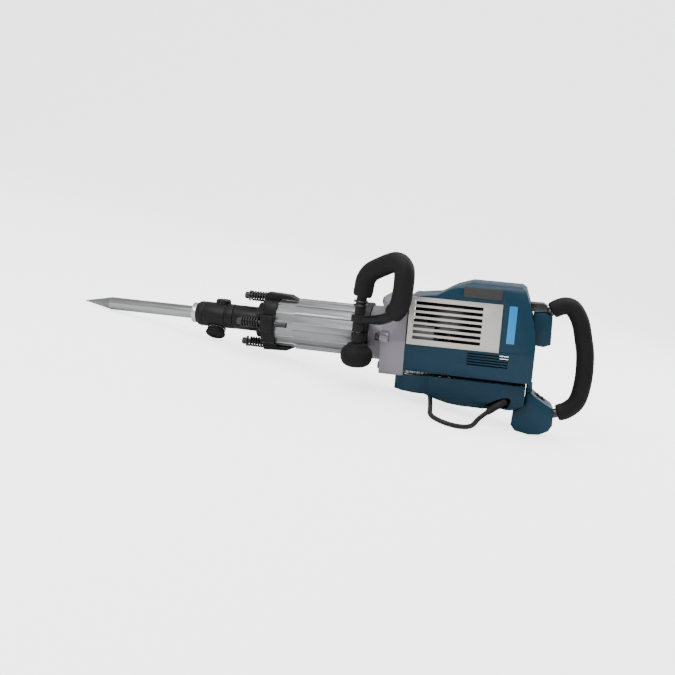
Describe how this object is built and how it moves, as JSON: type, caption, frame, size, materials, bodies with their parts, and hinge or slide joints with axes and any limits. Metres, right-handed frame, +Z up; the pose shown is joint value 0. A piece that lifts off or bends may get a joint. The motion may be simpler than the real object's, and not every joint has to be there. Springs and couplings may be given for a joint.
{
  "type": "electric jackhammer",
  "caption": "Electric demolition hammer with pointed chisel, silver barrel, blue motor housing, louvred side covers, loop side handle and curved rear handle.",
  "frame": {"origin": "centre of the base of the bounding box, the tool lying on the floor", "axes": "+X towards the rear handle, the chisel towards -X, +Z up, the side handle's side towards -Y"},
  "size_m": [1.1114, 0.4144, 0.3008],
  "materials": {
    "chisel_steel": "satin",
    "bright_ring": "polished",
    "black_casting": "satin",
    "dark_steel": "satin",
    "spring_steel": "satin",
    "barrel_alloy": "satin",
    "gearcase_alloy": "cast",
    "blue_shell": "semi-gloss",
    "louvre_plate": "satin",
    "dark_plastic": "matte",
    "label_film": "gloss",
    "rocker_red": "matte",
    "motor_core": "satin",
    "copper_winding": "lacquered",
    "black_rubber": "matte",
    "cord_rubber": "matte"
  },
  "bodies": {
    "tool": {"cylinder": "chisel_steel", "nose_ring": "bright_ring", "crank_bearing_upper": "bright_ring", "crank_bearing_lower": "bright_ring", "motor_bearing_lower": "bright_ring", "motor_bearing_upper": "bright_ring", "retainer_sleeve": "black_casting", "lock_cap": "black_casting", "tool_holder": "black_casting", "front_yoke": "black_casting", "buffer_bolt_top": "dark_steel", "buffer_bolt_near": "dark_steel", "buffer_bolt_bottom": "dark_steel", "buffer_bolt_far": "dark_steel", "gearcase_bolt_top": "dark_steel", "gearcase_bolt_near": "dark_steel", "gearcase_bolt_bottom": "dark_steel", "gearcase_bolt_far": "dark_steel", "rear_handle_bow": "dark_steel", "handle_mount": "dark_steel", "buffer_spring_top": "spring_steel", "buffer_spring_near": "spring_steel", "buffer_spring_bottom": "spring_steel", "buffer_spring_far": "spring_steel", "barrel": "barrel_alloy", "gearcase": "gearcase_alloy", "upper_housing": "blue_shell", "belly": "blue_shell", "switch_box": "blue_shell", "louvre_cover_near": "louvre_plate", "louvre_cover_far": "louvre_plate", "dark_panel_near": "dark_plastic", "dark_panel_far": "dark_plastic", "blank_label": "label_film", "stator": "motor_core", "rear_grip": "black_rubber", "cord_boot": "cord_rubber", "cord_lead": "cord_rubber", "cord_coil": "cord_rubber", "plug": "cord_rubber"},
    "chisel": {"chisel": "chisel_steel"},
    "lock_turn": {"lock_detent": "bright_ring"},
    "lock_plunger": {"lock_pin": "chisel_steel", "lock_knob": "black_rubber"},
    "impact_bolt": {"impact_bolt": "chisel_steel"},
    "striker": {"striker": "chisel_steel"},
    "piston": {"piston": "barrel_alloy"},
    "crank": {"crankshaft": "chisel_steel", "crank_gear": "chisel_steel"},
    "rod": {"con_rod": "chisel_steel", "wrist_pin": "chisel_steel"},
    "rotor": {"armature": "copper_winding", "fan": "dark_plastic"},
    "clamp": {"clamp_band": "black_casting", "clamp_bolt": "chisel_steel"},
    "side_handle": {"side_handle_frame": "black_casting", "side_handle_grip": "black_rubber"},
    "knob": {"clamp_knob": "black_rubber"},
    "rocker": {"switch_rocker": "rocker_red"}
  },
  "joints": [
    {"name": "chisel_slide", "type": "slide", "parent": "tool", "child": "chisel", "axis": [0.9859, 0, 0.1675], "range_m": [0, 0.03]},
    {"name": "lock_pin_turn", "type": "hinge", "parent": "tool", "child": "lock_turn", "pos_m": [-0.24908, 0.0501, 0.04589], "axis": [0.1372, -0.5736, -0.8076], "range_deg": [0, 180]},
    {"name": "lock_pin_pull", "type": "slide", "parent": "lock_turn", "child": "lock_plunger", "axis": [0.1372, -0.5736, -0.8076], "range_m": [0, 0.008], "stiffness_N_per_m": 800, "springref_m": -0.003},
    {"name": "impact_bolt_slide", "type": "slide", "parent": "tool", "child": "impact_bolt", "axis": [0.9859, 0, 0.1675], "range_m": [0, 0.008]},
    {"name": "striker_slide", "type": "slide", "parent": "tool", "child": "striker", "axis": [0.9859, 0, 0.1675], "range_m": [0, 0.016]},
    {"name": "piston_slide", "type": "slide", "parent": "tool", "child": "piston", "axis": [0.9859, 0, 0.1675], "range_m": [0, 0.03]},
    {"name": "crank_spin", "type": "hinge", "parent": "tool", "child": "crank", "pos_m": [0.1849, 0.03495, 0.13037], "axis": [-0.1675, 0, 0.9859], "continuous": true},
    {"name": "rod_swing", "type": "hinge", "parent": "crank", "child": "rod", "pos_m": [0.16913, 0.03495, 0.12769], "axis": [-0.1675, 0, 0.9859], "continuous": true},
    {"name": "rotor_spin", "type": "hinge", "parent": "tool", "child": "rotor", "pos_m": [0.24849, 0.03495, 0.14117], "axis": [-0.1675, 0, 0.9859], "continuous": true},
    {"name": "side_handle_swivel", "type": "hinge", "parent": "tool", "child": "clamp", "pos_m": [0.07448, 0.03495, 0.11161], "axis": [0.9859, 0, 0.1675], "range_deg": [-60, 80]},
    {"name": "side_handle_tilt", "type": "hinge", "parent": "clamp", "child": "side_handle", "pos_m": [0.07448, -0.05405, 0.11161], "axis": [-0.1675, 0, 0.9859], "range_deg": [-110, 0]},
    {"name": "clamp_knob_turn", "type": "hinge", "parent": "clamp", "child": "knob", "pos_m": [0.08085, -0.05405, 0.07415], "axis": [-0.1675, 0, 0.9859], "continuous": true},
    {"name": "rocker_press", "type": "hinge", "parent": "tool", "child": "rocker", "pos_m": [0.46127, 0.03495, 0.07385], "axis": [0, 1, 0], "range_deg": [0, 7], "stiffness_Nm_per_rad": 0.6, "springref_deg": -5.73}
  ],
  "couplings": [
    {"joint": "rod_swing", "follows": "crank_spin", "ratio": -1},
    {"joint": "rotor_spin", "follows": "crank_spin", "ratio": -4.375}
  ]
}
